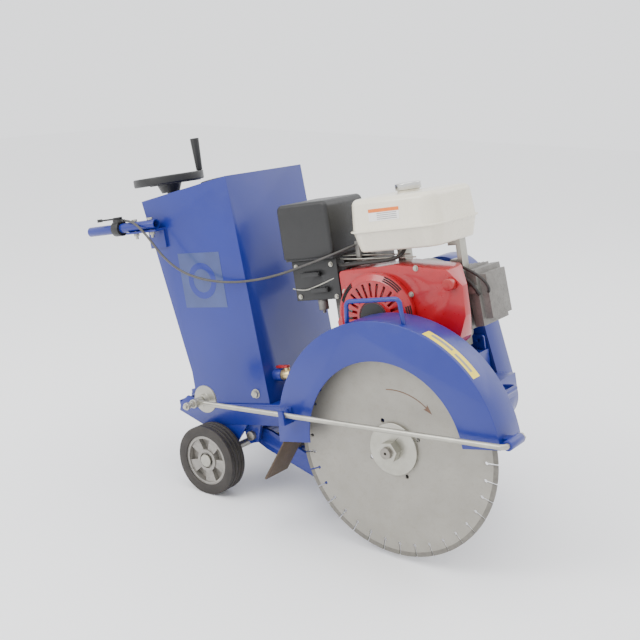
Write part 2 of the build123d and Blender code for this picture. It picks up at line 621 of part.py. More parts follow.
# ---- spindle, blade and guard -----------------------------------------------------------
def spindle():
    y_end = BELT_GUARD_FAR - 12
    shaft = rod_y(0, 0, SPINDLE_R, BLADE_T + 20, y_end)
    shaft = shaft + rod_y(0, 0, ARBOR_R, -40, BLADE_T + 20)
    shaft = shaft - rod_y(0, 0, 3, -41, -30)
    keep("spindle", shaft)
    inner = rod_y(0, 0, FLANGE_R, BLADE_T, BLADE_T + 8) + rod_y(0, 0, 30, BLADE_T + 8, BLADE_T + 20)
    inner = inner - rod_y(0, 0, ARBOR_R, 0, 40)
    outer = rod_y(0, 0, FLANGE_R, -8, 0)
    outer = fillet(outer.edges().group_by(Axis.Y)[0], 1.5)
    nut = hex_y(0, 0, NUT_AF, -31, -8) - rod_y(0, 0, ARBOR_R, -40, 0)
    keep("blade_clamp", inner, outer - rod_y(0, 0, ARBOR_R, -10, 2), nut)
    near0 = FRAME_NEAR + 4
    far0 = FRAME_FAR - 4 - 34
    housings = []
    races = []
    for y0 in (near0, far0):
        body = rod_y(0, 0, HOUSING_R, y0, y0 + 34)
        foot = block(-62, 62, y0, y0 + 34, 2, RAIL_BOTTOM)
        housing = body + foot
        housings.append(housing - rod_y(0, 0, BEARING_R, y0 - 1, y0 + 35))
        races.append(ring_y(0, 0, BEARING_R, SPINDLE_R + RUN, y0 + 6, y0 + 28))
    keep("spindle_bearings", *housings, *races)


def blade():
    core_r = BLADE_R - SEGMENT_H
    core = rod_y(0, 0, core_r, 0, BLADE_T) - rod_y(0, 0, ARBOR_R, -1, BLADE_T + 1)
    for k in range(4):
        a = math.radians(108.4 + 90 * k)
        core = core - rod_y(PIN_PCR * math.cos(a), PIN_PCR * math.sin(a), PIN_HOLE_R, -1, BLADE_T + 1)
    cuts = []
    pitch = 360 / SEGMENT_COUNT
    for k in range(SEGMENT_COUNT):
        turn = Rot(0, -(3.8 + pitch * k), 0)
        cuts.append(turn * block(SLOT_HOLE_PCR, core_r + 5, -1, BLADE_T + 1, -SLOT_W / 2, SLOT_W / 2))
        cuts.append(turn * rod_y(SLOT_HOLE_PCR, 0, SLOT_HOLE_R, -1, BLADE_T + 1))
    core = core - cuts
    keep("blade_core", core)
    side = (SEGMENT_T - BLADE_T) / 2
    ring = ring_y(0, 0, BLADE_R, core_r, -side, BLADE_T + side)
    gaps = []
    for k in range(SEGMENT_COUNT):
        turn = Rot(0, -(3.8 + pitch * k), 0)
        gaps.append(turn * block(core_r - 5, BLADE_R + 5, -5, BLADE_T + 5, -SLOT_W / 2, SLOT_W / 2))
    segments = ring - gaps
    keep("diamond_segments", *segments.solids())


def blade_guard():
    """Sheet-steel half drum over the blade, open at the spindle on the near side."""
    z = GUARD_LIFT
    shell = rod_y(0, z, GUARD_R, GUARD_Y0, GUARD_Y1)
    shell = shell + block(-GUARD_R, GUARD_R, GUARD_Y0, GUARD_Y1, z, GUARD_BOTTOM)
    shell = shell - rod_y(0, z, GUARD_R - SHEET, GUARD_Y0 + SHEET, GUARD_Y1 - SHEET)
    shell = shell - block(-GUARD_R - 1, GUARD_R + 1, GUARD_Y0 - 1, GUARD_Y1 + 1, -GUARD_R, GUARD_BOTTOM)
    shell = shell - rod_y(0, z, GUARD_OPEN_R, GUARD_Y0 - 1, GUARD_Y0 + SHEET + 1)
    shell = shell - rod_y(0, 0, HOUSING_R + 20, GUARD_Y1 - SHEET - 1, GUARD_Y1 + 1)
    keep("blade_guard", shell)
    arm_z0 = RAIL_BOTTOM + 8
    arms = []
    for x0 in (-250, 62):
        arms.append(block(x0, x0 + 34, GUARD_Y1, FRAME_NEAR, arm_z0, RAIL_TOP - 6))
    hoop_y = -26.0
    foot_x = (-58.0, 86.0)
    top = 336.0
    feet = [GUARD_LIFT + math.sqrt(GUARD_R ** 2 - x ** 2) - 1.5 for x in foot_x]
    path = FilletPolyline((foot_x[0], hoop_y, feet[0]), (foot_x[0] + 6, hoop_y, top),
                          (foot_x[1] - 2, hoop_y, top), (foot_x[1], hoop_y, feet[1]), radius=12)
    direction = (6, 0, top - feet[0])
    section = Plane(origin=(foot_x[0], hoop_y, feet[0]), z_dir=direction) * Circle(5)
    hoop = sweep(section, path) - rod_y(0, GUARD_LIFT, GUARD_R, GUARD_Y0, GUARD_Y1)
    keep("guard_fittings", hoop, *arms, *flap_strip(), pivot_tube(), rod_clip(), spray_inlet())


def mud_flap():
    """Rubber flap that hangs behind the blade from the guard's rear edge."""
    y0 = GUARD_Y0 + 5
    y1 = GUARD_Y1 - 4
    top = GUARD_BOTTOM + 14
    x = -GUARD_R + SHEET + 1.5
    low_x = x - 75
    low_z = GUARD_BOTTOM - 95
    flap = plate_y([(x + 0.2, top), (x + 4.2, top), (x + 4.2, GUARD_BOTTOM - 4), (low_x + 4, low_z - 3),
                    (low_x, low_z), (x + 0.2, GUARD_BOTTOM - 3)], y0, y1)
    keep("mud_flap", flap)


def flap_strip():
    """Steel strip that clamps the flap."""
    x = -GUARD_R + SHEET + 1.5
    return [block(x + 4.2, x + 7.2, GUARD_Y0 + SHEET, GUARD_Y1 - SHEET, GUARD_BOTTOM + 2, GUARD_BOTTOM + 14)]


# ---- guide pointer ----------------------------------------------------------------------
def guide_pointer():
    """Folding pointer: a bent rod on the guard's nose, with a small wheel at its end."""
    x = ROD_PIVOT_X
    z = ROD_PIVOT_Z
    slope = math.atan2(ROD_EYE_Z - z, ROD_EYE_X - x)
    back = 20.0
    rear = (ROD_EYE_X - back * math.cos(slope), ROD_Y, ROD_EYE_Z - back * math.sin(slope))
    path = FilletPolyline((x, 6, z), (x, ROD_Y, z), rear, radius=11)
    section = Plane(origin=(x, 6, z), z_dir=(0, -1, 0)) * Circle(ROD_R)
    rod = sweep(section, path)
    eye = rod_y(ROD_EYE_X, ROD_EYE_Z, 11, ROD_Y - 5, ROD_Y + 5)
    neck = rod_y(ROD_EYE_X, ROD_EYE_Z, 24, ROD_Y - 5, ROD_Y + 5)
    neck = neck & (Pos(rear[0], 0, rear[2]) * block(-12, 12, ROD_Y - 5, ROD_Y + 5, -7, 7))
    rod = rod + eye + neck - rod_y(ROD_EYE_X, ROD_EYE_Z, 5, ROD_Y - 10, ROD_Y + 10)
    keep("pointer_rod", rod)
    nut = hex_y(x, z, 19, GAP, 6.4) - rod_y(x, z, ROD_R, -2, 10)
    bolt = rod_y(ROD_EYE_X, ROD_EYE_Z, 5, -114, -30) + hex_y(ROD_EYE_X, ROD_EYE_Z, 17, -30, -24)
    collars = [nut, bolt]
    for y0, y1, r in ((-108, -101, 9), (-92, -84, 8), (-84, ROD_Y - 5, 11), (ROD_Y + 5, -55, 11)):
        collars.append(ring_y(ROD_EYE_X, ROD_EYE_Z, r, 5, y0, y1))
    keep("pointer_fasteners", *collars)
    disc = ring_y(ROD_EYE_X, ROD_EYE_Z, GUIDE_WHEEL_R, 5 + RUN, -40, -35)
    disc = disc + ring_y(ROD_EYE_X, ROD_EYE_Z, 14, 5 + RUN, -53, -31)
    keep("pointer_wheel", disc)


def pivot_tube():
    """Tube on the guard's nose in which the pointer turns."""
    x = ROD_PIVOT_X
    z = ROD_PIVOT_Z
    tube = ring_y(x, z, 11, ROD_R + RUN, -56, 0)
    lug = block(GUARD_R - 2, x, -30, -6, z - 7, z + 7)
    lug = lug - rod_y(0, GUARD_LIFT, GUARD_R, GUARD_Y0 - 1, GUARD_Y1 + 1)
    return tube + (lug - rod_y(x, z, ROD_R + RUN, -70, 10))


def rod_clip():
    """Open clip on the guard's side that holds the stowed pointer."""
    x = -241.0
    z = rod_height(x)
    clip = block(x - 7, x + 7, ROD_Y - 12, GUARD_Y0, z - 22, z + 12)
    clip = clip - block(x - 9, x + 9, ROD_Y - ROD_R - 0.5, ROD_Y + ROD_R + 0.5, z - ROD_R - 1.6, z + 20)
    return clip - block(x - 9, x + 9, ROD_Y + 11, GUARD_Y0 - 3, z - 14, z + 20)


def rod_height(x):
    """Height of the stowed pointer rod's axis."""
    share = (x - ROD_PIVOT_X) / (ROD_EYE_X - ROD_PIVOT_X)
    return ROD_PIVOT_Z + share * (ROD_EYE_Z - ROD_PIVOT_Z)


# ---- belt drive -------------------------------------------------------------------------
def belt_y(k):
    """Middle of one belt."""
    middle = BELT_GUARD_NEAR + BELT_GUARD_W / 2
    return middle + (k - (BELT_COUNT - 1) / 2) * BELT_PITCH


def pulley(x, z, r, bore_r):
    y0 = belt_y(0) - BELT_PITCH / 2 - 2
    y1 = belt_y(BELT_COUNT - 1) + BELT_PITCH / 2 + 2
    body = rod_y(x, z, r, y0, y1)
    for k in range(BELT_COUNT):
        y = belt_y(k)
        body = body - ring_y(x, z, r + 1, r - GROOVE_DEPTH, y - BELT_W / 2 - GAP, y + BELT_W / 2 + GAP)
    return body - rod_y(x, z, bore_r, y0 - 1, y1 + 1)


def belt_drive():
    low = (0.0, 0.0)
    top = (SHAFT_X, SHAFT_Z)
    keep("spindle_pulley", pulley(low[0], low[1], SPINDLE_PULLEY_R, SPINDLE_R))
    keep("engine_pulley", pulley(top[0], top[1], ENGINE_PULLEY_R, SHAFT_R))
    belts = []
    for k in range(BELT_COUNT):
        y0 = belt_y(k) - BELT_W / 2
        y1 = belt_y(k) + BELT_W / 2
        r0 = SPINDLE_PULLEY_R - GROOVE_DEPTH + GAP
        r1 = ENGINE_PULLEY_R - GROOVE_DEPTH + GAP
        loop = hull_y(low, r0 + BELT_H, top, r1 + BELT_H, y0, y1)
        belts.append(loop - hull_y(low, r0, top, r1, y0 - 1, y1 + 1))
    keep("drive_belts", *belts)
    y0 = BELT_GUARD_NEAR
    y1 = BELT_GUARD_FAR
    shell = hull_y(low, BELT_GUARD_LOW_R, top, BELT_GUARD_TOP_R, y0, y1)
    inside = hull_y(low, BELT_GUARD_LOW_R - SHEET, top, BELT_GUARD_TOP_R - SHEET, y0 - 1, y1 - SHEET)
    shell = shell - inside
    back = hull_y(low, BELT_GUARD_LOW_R - SHEET - 0.2, top, BELT_GUARD_TOP_R - SHEET - 0.2, y0, y0 + SHEET)
    back = back - rod_y(0, 0, SPINDLE_R + 6, y0 - 1, y0 + 10)
    back = back - rod_y(SHAFT_X, SHAFT_Z, SHAFT_R + 14, y0 - 1, y0 + 10)
    keep("belt_guard", shell, back)


# ---- engine base ------------------------------------------------------------------------
BASE_REAR = -236.0
BASE_FRONT = 48.0


def engine_base():
    """Welded pedestal, slotted tension ear, mount bars and bolts; returns the bolts."""
    y0 = FRAME_NEAR + 34
    y1 = FRAME_FAR - 4
    top = block(BASE_REAR, BASE_FRONT, y0, y1, BASE_TOP - 6, BASE_TOP)
    legs = block(BASE_REAR, BASE_REAR + 6, y0, y1, DECK_TOP, BASE_TOP - 6)
    legs = legs + block(BASE_FRONT - 6, BASE_FRONT, y0, y1, DECK_TOP, BASE_TOP - 6)
    bars = []
    for y in (ENGINE_BOLT_Y[0], ENGINE_BOLT_Y[1]):
        bar = block(SHAFT_X - 110, SHAFT_X + 96, y - 24, y + 24, BASE_TOP, ENGINE_FOOT)
        for x in ENGINE_BOLT_X:
            bar = bar - rod_z(x, y, 5, BASE_TOP - 1, ENGINE_FOOT + 1)
        bars.append(bar)
    bolts = []
    for y in ENGINE_BOLT_Y:
        for x in ENGINE_BOLT_X:
            bolt = rod_z(x, y, 5, BASE_TOP, ENGINE_FOOT + 8) + hex_z(x, y, 16, ENGINE_FOOT + 8, ENGINE_FOOT + 15)
            bolts.append(bolt)
    ear_y = y1 - 9
    ear = block(BASE_FRONT - 42, BASE_FRONT - 4, ear_y, ear_y + 6, BASE_TOP, BASE_TOP + 36)
    ear = fillet(ear.edges().filter_by(Axis.Y).group_by(Axis.Z)[-1], 8)
    ear = ear - rod_y(BASE_FRONT - 20, BASE_TOP + 22, 5, ear_y - 1, ear_y + 7)
    keep("engine_base", top + legs, ear, *bars)
    return bolts


ENGINE_BOLT_X = (SHAFT_X - 85.0, SHAFT_X + 77.0)
ENGINE_BOLT_Y = (MID_Y - 40.0, MID_Y + 65.0)


# ---- engine -----------------------------------------------------------------------------
CASE_NEAR = 196.0
CASE_FAR = 372.0
SHROUD_NEAR = 105.0


def crankcase():
    x = SHAFT_X
    z = SHAFT_Z
    body = block(x - 95, x + 92, CASE_NEAR, CASE_FAR - 22, ENGINE_FOOT + 8, z + 30)
    body = body + rod_y(x, z, 92, CASE_NEAR, CASE_FAR - 22)
    for bolt_x in ENGINE_BOLT_X:
        for bolt_y in ENGINE_BOLT_Y:
            body = body + block(bolt_x - 16, bolt_x + 16, bolt_y - 20, bolt_y + 20,
                                ENGINE_FOOT, ENGINE_FOOT + 8)
            pocket = block(bolt_x - 14, bolt_x + 14, bolt_y - 14, bolt_y + 14,
                           ENGINE_FOOT + 8, ENGINE_FOOT + 30)
            body = body - pocket - rod_z(bolt_x, bolt_y, 5, ENGINE_FOOT - 1, ENGINE_FOOT + 9)
    body = body - rod_y(x, z, 60, CASE_NEAR + 14, CASE_FAR - 10)
    body = body - rod_y(x, z, SHAFT_R + RUN, CASE_NEAR - 2, CASE_FAR)
    cover = rod_y(x, z, 88, CASE_FAR - 22, CASE_FAR - 8)
    cover = cover + rod_y(x, z, 34, CASE_FAR - 8, CASE_FAR + 4)
    cover = cover + block(x - 80, x + 84, CASE_FAR - 22, CASE_FAR - 8, ENGINE_FOOT + 22, z)
    cover = cover - rod_y(x, z, SHAFT_R + RUN, CASE_FAR - 30, CASE_FAR + 10)
    plug = rod_x(CASE_FAR - 58, ENGINE_FOOT + 46, 11, x + 92, x + 112)
    keep("crankcase", body, cover, plug)
    return body


def cylinder_frame(shape):
    """Turns a shape drawn along +X from the crankshaft up along the inclined cylinder."""
    return Pos(SHAFT_X, 0, SHAFT_Z) * Rot(0, -CYLINDER_LEAN, 0) * shape


def cylinder(case):
    y0 = CASE_NEAR + 16
    y1 = CASE_FAR - 30
    mid = (y0 + y1) / 2
    barrel = rod_x(mid, 0, 56, 93, 176)
    barrel = barrel - rod_x(mid, 0, 44, 90, 170)
    for k in range(7):
        x0 = 100 + 11 * k
        barrel = barrel + (block(x0, x0 + 4, y0, y1, -70, 66) - rod_x(mid, 0, 50, x0 - 1, x0 + 5))
    head = block(177, 200, y0 + 4, y1 - 4, -66, 62)
    head = head + block(200, 218, y0 + 18, y1 - 18, -52, 50)
    head = cylinder_frame(head)
    plug = cylinder_frame(block(184, 200, y0 - 10, y0 + 4, 12, 28))
    keep("cylinder", cylinder_frame(barrel) - case, head, plug)
    strap = block(76, 108, 216, 244, SHAFT_Z + 71, FUEL_Z0) - head - cylinder_frame(barrel)
    strap = strap - block(70, 96, 210, 250, SHAFT_Z + 100, SHAFT_Z + 132)
    rear = block(-60, -40, 216, 250, SHAFT_Z + 94, FUEL_Z0) - case
    return [strap, rear]


def crankshaft():
    x = SHAFT_X
    z = SHAFT_Z
    shaft = rod_y(x, z, SHAFT_R, SHROUD_NEAR + 14, BELT_GUARD_FAR - 12)
    flywheel = rod_y(x, z, 84, 160, CASE_NEAR - 4)
    for k in range(12):
        vane = block(x + 34, x + 84, 132, 160, z - 2, z + 2)
        flywheel = flywheel + Pos(x, 0, z) * Rot(0, 30 * k, 0) * Pos(-x, 0, -z) * vane
    flywheel = flywheel + rod_y(x, z, 36, 132, 160)
    keep("crankshaft", shaft, flywheel - rod_y(x, z, SHAFT_R, 100, 220))


def fan_shroud():
    """Pressed-steel cowl over the flywheel, closed at the front and open to the cylinder."""
    x = SHAFT_X
    z = SHAFT_Z
    outline = [(x - 93, z + 107), (x - 93, z + 20), (x - 118, z - 10), (x - 112, z - 62),
               (x - 70, z - 110), (x, z - 124), (x + 70, z - 108), (x + 150, z - 92),
               (x + 200, z - 60), (x + 222, z - 10), (x + 224, z + 56), (x + 190, z + 92),
               (x + 60, z + 112)]
    solid = plate_y(outline, SHROUD_NEAR, CASE_NEAR)
    upright = solid.edges().filter_by(Axis.Y)
    solid = fillet(upright, 9)
    solid = solid - side_wedge(0)
    cavity = offset_outline(outline, x + 40, z, 0.965)
    inside = fillet(plate_y(cavity, SHROUD_NEAR + SHEET, CASE_NEAR + 5).edges().filter_by(Axis.Y), 7)
    inside = inside - side_wedge(SHEET)
    shell = solid - inside - rod_y(x, z, 90, SHROUD_NEAR - 1, SHROUD_NEAR + SHEET + 1)
    shell = shell - rod_y(x + SWITCH_AT[0], z + SWITCH_AT[1], 4 + RUN, SHROUD_NEAR - 1, CASE_NEAR + 1)
    keep("fan_shroud", shell)


def side_wedge(inset):
    """What the sloping front side of the cowl leaves out, seen from above."""
    x = SHAFT_X
    corners = [(x + 226 - inset, SHROUD_NEAR + 18), (x + 168 - inset, CASE_NEAR + 8),
               (x + 260, CASE_NEAR + 8), (x + 260, SHROUD_NEAR + 18)]
    plan = make_face(Polyline(*corners, close=True))
    return Pos(0, 0, SHAFT_Z - 150) * extrude(plan, amount=300)


def offset_outline(points, x, z, share):
    """The outline shrunk towards a point."""
    return [(x + (px - x) * share, z + (pz - z) * share) for px, pz in points]


def recoil_starter():
    x = SHAFT_X
    z = SHAFT_Z
    cover = rod_y(x, z, 100, RECOIL_FACE + 8, SHROUD_NEAR)
    cover = cover + Pos(x, RECOIL_FACE + 4, z) * Rot(90, 0, 0) * Cone(96, 84, 8)
    cover = cover - rod_y(x, z, 92, RECOIL_FACE + 11, SHROUD_NEAR + 1)
    cover = cover - (Pos(x, RECOIL_FACE + 8, z) * Rot(90, 0, 0) * Cone(90, 80, 8))
    cuts = []
    for k in range(24):
        turn = Pos(x, 0, z) * Rot(0, 15 * k, 0) * Pos(-x, 0, -z)
        cuts.append(turn * block(x + 46, x + 78, RECOIL_FACE - 5, RECOIL_FACE + 14, z - 3, z + 3))
    cover = cover - cuts
    badge = rod_y(x, z, 38, RECOIL_FACE - 4, RECOIL_FACE)
    reel = rod_y(x, z, 70, RECOIL_FACE + 15, SHROUD_NEAR + 2)
    keep("recoil_cover", cover, badge, reel)
    gx = x + 132
    gz = z - 60
    grip = rod_x(SHROUD_NEAR - 16, gz, 9, gx - 26, gx + 26)
    keep("recoil_grip", fillet(grip.edges(), 3))


def fuel_tank():
    body = tank_body(0) - tank_body(FUEL_WALL)
    seam = block(TANK_X0 - 4, TANK_X1 + 4, FUEL_NEAR - 4, FUEL_FAR + 4, FUEL_SEAM - 2, FUEL_SEAM + 2)
    seam = fillet(seam.edges().filter_by(Axis.Z), 40)
    body = body + (seam - tank_body(FUEL_WALL))
    cx, cy = CAP_PLACE
    body = body + rod_z(cx, cy, 26, FUEL_Z1 - 2, FUEL_Z1 + 5)
    body = body - rod_z(cx, cy, 22, FUEL_Z1 - 10, FUEL_Z1 + 6)
    keep("fuel_tank", body)
    cap = rod_z(cx, cy, 30, FUEL_Z1 + 5 + GAP, FUEL_Z1 + 21)
    keep("fuel_cap", fillet(cap.edges().group_by(Axis.Z)[-1], 3))


def tank_body(inset):
    """The fuel tank's outside, or its inside when moved in by a wall."""
    width = TANK_X1 - TANK_X0 - 2 * inset
    depth = FUEL_FAR - FUEL_NEAR - 2 * inset
    middle = Pos((TANK_X0 + TANK_X1) / 2, (FUEL_NEAR + FUEL_FAR) / 2, FUEL_SEAM)
    plan = RectangleRounded(width, depth, 40 - inset)
    lower = extrude(plan, amount=-(FUEL_SEAM - FUEL_Z0 - inset), taper=14)
    lower = fillet(lower.edges().group_by(Axis.Z)[0], 7)
    upper = extrude(plan, amount=FUEL_Z1 - FUEL_SEAM - inset, taper=5)
    upper = fillet(upper.edges().group_by(Axis.Z)[-1], 15)
    return middle * (upper + lower)


TANK_X0 = -106.0
TANK_X1 = 128.0
FUEL_NEAR = 90.0
FUEL_FAR = 300.0
FUEL_Z0 = 424.0
FUEL_Z1 = 544.0
FUEL_SEAM = 472.0
FUEL_WALL = 2.0
CAP_PLACE = (4.0, 200.0)


def air_cleaner():
    cover = block(-305, -157, 96, 246, 424, 553)
    cover = fillet(cover.edges().filter_by(Axis.Y).group_by(Axis.Z)[-1], 16)
    cover = fillet(cover.edges().filter_by(Axis.Z).group_by(Axis.Y)[0], 9)
    cover = cover - block(-301, -161, 100, 242, 420, 540)
    keep("air_cleaner_cover", cover)
    element = ring_z(-231, 170, 52, 34, 424, 520)
    base = block(-300, -162, 101, 241, 418, 424)
    base = base + block(-262, -200, 140, 200, 402, 418)
    keep("air_filter", base, element)
    elbow = block(-262, -200, 140, 200, 352, 402)
    elbow = elbow + block(-200, -168, 216, 256, 352, 392)
    elbow = elbow + block(-240, -200, 200, 256, 352, 392)
    panel = block(-290, -160, 108, 139.5, 322, 417)
    panel = panel - rod_y(-214, 384, 5.05, 100, 150)
    panel = panel - rod_y(-196, 346, 5.05, 100, 150)
    keep("control_panel", panel)
    choke = rod_y(-214, 384, 5, 98, 124) + block(-262, -208, 100, 105, 379, 389)
    keep("choke_lever", choke)
    fuel = rod_y(-196, 346, 5, 98, 124) + block(-240, -190, 100, 105, 341, 351)
    keep("fuel_valve_lever", fuel)
    bowl = rod_z(-226, 124, 12, 296, 321.5) + rod_z(-226, 124, 4, 288, 296)
    duct = block(-212, -188, 150, 196, 244, 340)
    stop = block(-200, -108, 188, 200, 396, 402) + block(-120, -108, 140, 200, 396, 402)
    stop = stop + block(-120, -108, 134, 140, 396, 449)
    keep("carburettor", elbow + stop, bowl, fillet(duct.edges().filter_by(Axis.Z), 7))


def muffler():
    body = block(-320, -160, 266, 368, 330, 412)
    body = fillet(body.edges(), 14)
    body = body - fillet(block(-318, -162, 268, 366, 332, 410).edges(), 12)
    pipe = rod_x(315, 372, 14, -162, -140) + rod_x(350, 350, 13, -336, -318)
    pipe = pipe - rod_x(350, 350, 10, -340, -317)
    body = body - rod_x(350, 350, 10, -340, -310)
    keep("muffler", body + pipe)


def engine_switch():
    x = SHAFT_X + SWITCH_AT[0]
    z = SHAFT_Z + SWITCH_AT[1]
    knob = rod_y(x, z, 13, SHROUD_NEAR - GAP - 18, SHROUD_NEAR - GAP)
    keep("engine_switch", knob + rod_y(x, z, 4, SHROUD_NEAR - GAP, SHROUD_NEAR + 20))


SWITCH_AT = (198.0, 62.0)


def engine():
    bolts = engine_base()
    tank_straps = cylinder(crankcase())
    keep("engine_fixings", *bolts, *tank_straps)
    crankshaft()
    fan_shroud()
    recoil_starter()
    fuel_tank()
    air_cleaner()
    muffler()
    engine_switch()


# ---- stand it on its wheels, centre it and write it --------------------------------------
def stand(shape):
    """Tips the level drawing nose up, about the spindle, and lifts it to its height."""
    return Pos(0, 0, SPINDLE_HEIGHT) * Rot(0, -NOSE_UP, 0) * shape


def stand_point(point):
    """The same for one point."""
    turn = math.radians(NOSE_UP)
    x = point[0] * math.cos(turn) - point[2] * math.sin(turn)
    z = point[0] * math.sin(turn) + point[2] * math.cos(turn)
    return Vector(x, point[1], z + SPINDLE_HEIGHT)


def build():
    chassis()
    rear_axle()
    wheels()
    swing_arm()
    lead_screw()
    handwheel()
    water_tank()
    water_valve()
    water_hose()
    throttle_control()
    spindle()
    blade()
    blade_guard()
    mud_flap()
    guide_pointer()
    belt_drive()
    engine()


build()
standing = {name: [stand(s) for s in solids] for name, solids in NODES.items()}
boxes = [s.bounding_box() for solids in standing.values() for s in solids]
centre_x = (min(b.min.X for b in boxes) + max(b.max.X for b in boxes)) / 2
centre_y = (min(b.min.Y for b in boxes) + max(b.max.Y for b in boxes)) / 2
floor_z = min(b.min.Z for b in boxes)
standing["throttle_cable"] = [throttle_cable()]
shift = Pos(-centre_x, -centre_y, -floor_z)
print("shift to the middle of the footprint, mm:", round(-centre_x, 3), round(-centre_y, 3), round(-floor_z, 3))
os.makedirs("parts", exist_ok=True)
for name, solids in standing.items():
    placed = [shift * s for s in solids]
    whole = placed[0] if len(placed) == 1 else Compound(children=placed)
    export_step(whole, "parts/" + name + ".step")
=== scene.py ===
import math

import bmesh
import bpy
from mathutils import Matrix, Vector


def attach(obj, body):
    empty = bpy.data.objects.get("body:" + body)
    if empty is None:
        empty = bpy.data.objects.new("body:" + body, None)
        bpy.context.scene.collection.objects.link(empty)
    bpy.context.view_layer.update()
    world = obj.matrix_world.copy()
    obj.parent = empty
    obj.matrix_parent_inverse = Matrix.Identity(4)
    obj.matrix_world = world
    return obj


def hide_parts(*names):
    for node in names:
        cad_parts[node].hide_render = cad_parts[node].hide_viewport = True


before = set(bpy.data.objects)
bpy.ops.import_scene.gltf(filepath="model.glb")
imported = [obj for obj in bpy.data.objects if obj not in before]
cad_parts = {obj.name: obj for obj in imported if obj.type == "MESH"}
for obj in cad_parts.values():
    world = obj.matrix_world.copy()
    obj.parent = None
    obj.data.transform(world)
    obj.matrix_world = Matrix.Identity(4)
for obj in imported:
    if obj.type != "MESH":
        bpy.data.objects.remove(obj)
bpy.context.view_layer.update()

# ---- Camera ------------------------------------------------------------------------------
# A short telephoto view from the blade side, a little in front of the saw and above it.
camera_data = bpy.data.cameras.new("camera")
camera_data.lens = 60.26
camera_data.sensor_width = 36.0
camera_data.clip_end = 50.0
camera = bpy.data.objects.new("camera", camera_data)
bpy.context.collection.objects.link(camera)
camera.location = (1.5006, -2.0630, 1.1330)
camera.rotation_mode = "QUATERNION"
camera.rotation_quaternion = Vector((-0.5646, 0.7854, -0.2538)).to_track_quat("-Z", "Y")
bpy.context.scene.camera = camera

# ---- Throttle cable ----------------------------------------------------------------------
# Steel cable in a black plastic sheath. It leaves the thumb lever's clamp, sags across the
# tank's side and climbs to the stop under the fuel tank. The saw is drawn level and then
# tipped nose up, so places are in millimetres of the level drawing.
LEVEL = (Matrix.Translation((0.348646, -0.180, 0.263996))
         @ Matrix.Rotation(math.radians(-10.8), 4, "Y") @ Matrix.Scale(0.001, 4))
cable_route = [
    (-776.4, 60.0, 567.5), (-730.0, 42.0, 566.0), (-682.0, 36.0, 525.0), (-643.0, 40.0, 466.0),
    (-596.0, 48.0, 423.0), (-533.0, 58.0, 397.0), (-460.0, 68.0, 384.0), (-386.0, 74.0, 384.0),
    (-311.0, 78.0, 392.0), (-232.0, 81.0, 409.0), (-150.0, 85.0, 428.0), (-116.0, 130.6, 441.0)]


def mottled(name, color, rough, metal=0.0, vary=0.12, size=0.03, grain=0.0, grain_size=0.0006,
            coat=0.0, dirt=None, dirt_share=0.35):
    """A surface with soft colour drift, patches of grime and a fine grain."""
    material = bpy.data.materials.new(name)
    material.use_nodes = True
    nodes = material.node_tree.nodes
    link = material.node_tree.links.new
    shader = nodes["Principled BSDF"]
    place = nodes.new("ShaderNodeTexCoord").outputs["Object"]
    drift = nodes.new("ShaderNodeTexNoise")
    drift.inputs["Scale"].default_value = 1.0 / size
    drift.inputs["Detail"].default_value = 5.0
    link(place, drift.inputs["Vector"])
    tint = nodes.new("ShaderNodeValToRGB")
    tint.color_ramp.elements[0].position = 0.3
    tint.color_ramp.elements[1].position = 0.7
    tint.color_ramp.elements[0].color = (*[c * (1 - vary) for c in color], 1)
    tint.color_ramp.elements[1].color = (*[min(1, c * (1 + vary)) for c in color], 1)
    link(drift.outputs["Fac"], tint.inputs["Fac"])
    colour = tint.outputs["Color"]
    spots = nodes.new("ShaderNodeTexNoise")
    spots.inputs["Scale"].default_value = 4.0 / size
    spots.inputs["Detail"].default_value = 8.0
    spots.inputs["Roughness"].default_value = 0.7
    link(place, spots.inputs["Vector"])
    if dirt:
        mask = nodes.new("ShaderNodeMapRange")
        mask.inputs["From Min"].default_value = 0.5
        mask.inputs["From Max"].default_value = 0.8
        mask.inputs["To Max"].default_value = dirt_share
        link(spots.outputs["Fac"], mask.inputs["Value"])
        mix = nodes.new("ShaderNodeMix")
        mix.data_type = "RGBA"
        mix.inputs["B"].default_value = (*dirt, 1)
        link(mask.outputs["Result"], mix.inputs["Factor"])
        link(colour, mix.inputs["A"])
        colour = mix.outputs["Result"]
    link(colour, shader.inputs["Base Color"])
    gloss = nodes.new("ShaderNodeMapRange")
    gloss.inputs["From Min"].default_value = 0.25
    gloss.inputs["From Max"].default_value = 0.75
    gloss.inputs["To Min"].default_value = max(0.03, rough * 0.8)
    gloss.inputs["To Max"].default_value = min(1.0, rough * 1.25)
    link(spots.outputs["Fac"], gloss.inputs["Value"])
    link(gloss.outputs["Result"], shader.inputs["Roughness"])
    shader.inputs["Metallic"].default_value = metal
    shader.inputs["Coat Weight"].default_value = coat
    shader.inputs["Coat Roughness"].default_value = 0.08
    if grain:
        fine = nodes.new("ShaderNodeTexNoise")
        fine.inputs["Scale"].default_value = 1.0 / grain_size
        fine.inputs["Detail"].default_value = 3.0
        link(place, fine.inputs["Vector"])
        bump = nodes.new("ShaderNodeBump")
        bump.inputs["Strength"].default_value = grain
        bump.inputs["Distance"].default_value = grain_size * 0.5
        link(fine.outputs["Fac"], bump.inputs["Height"])
        link(bump.outputs["Normal"], shader.inputs["Normal"])
    return material


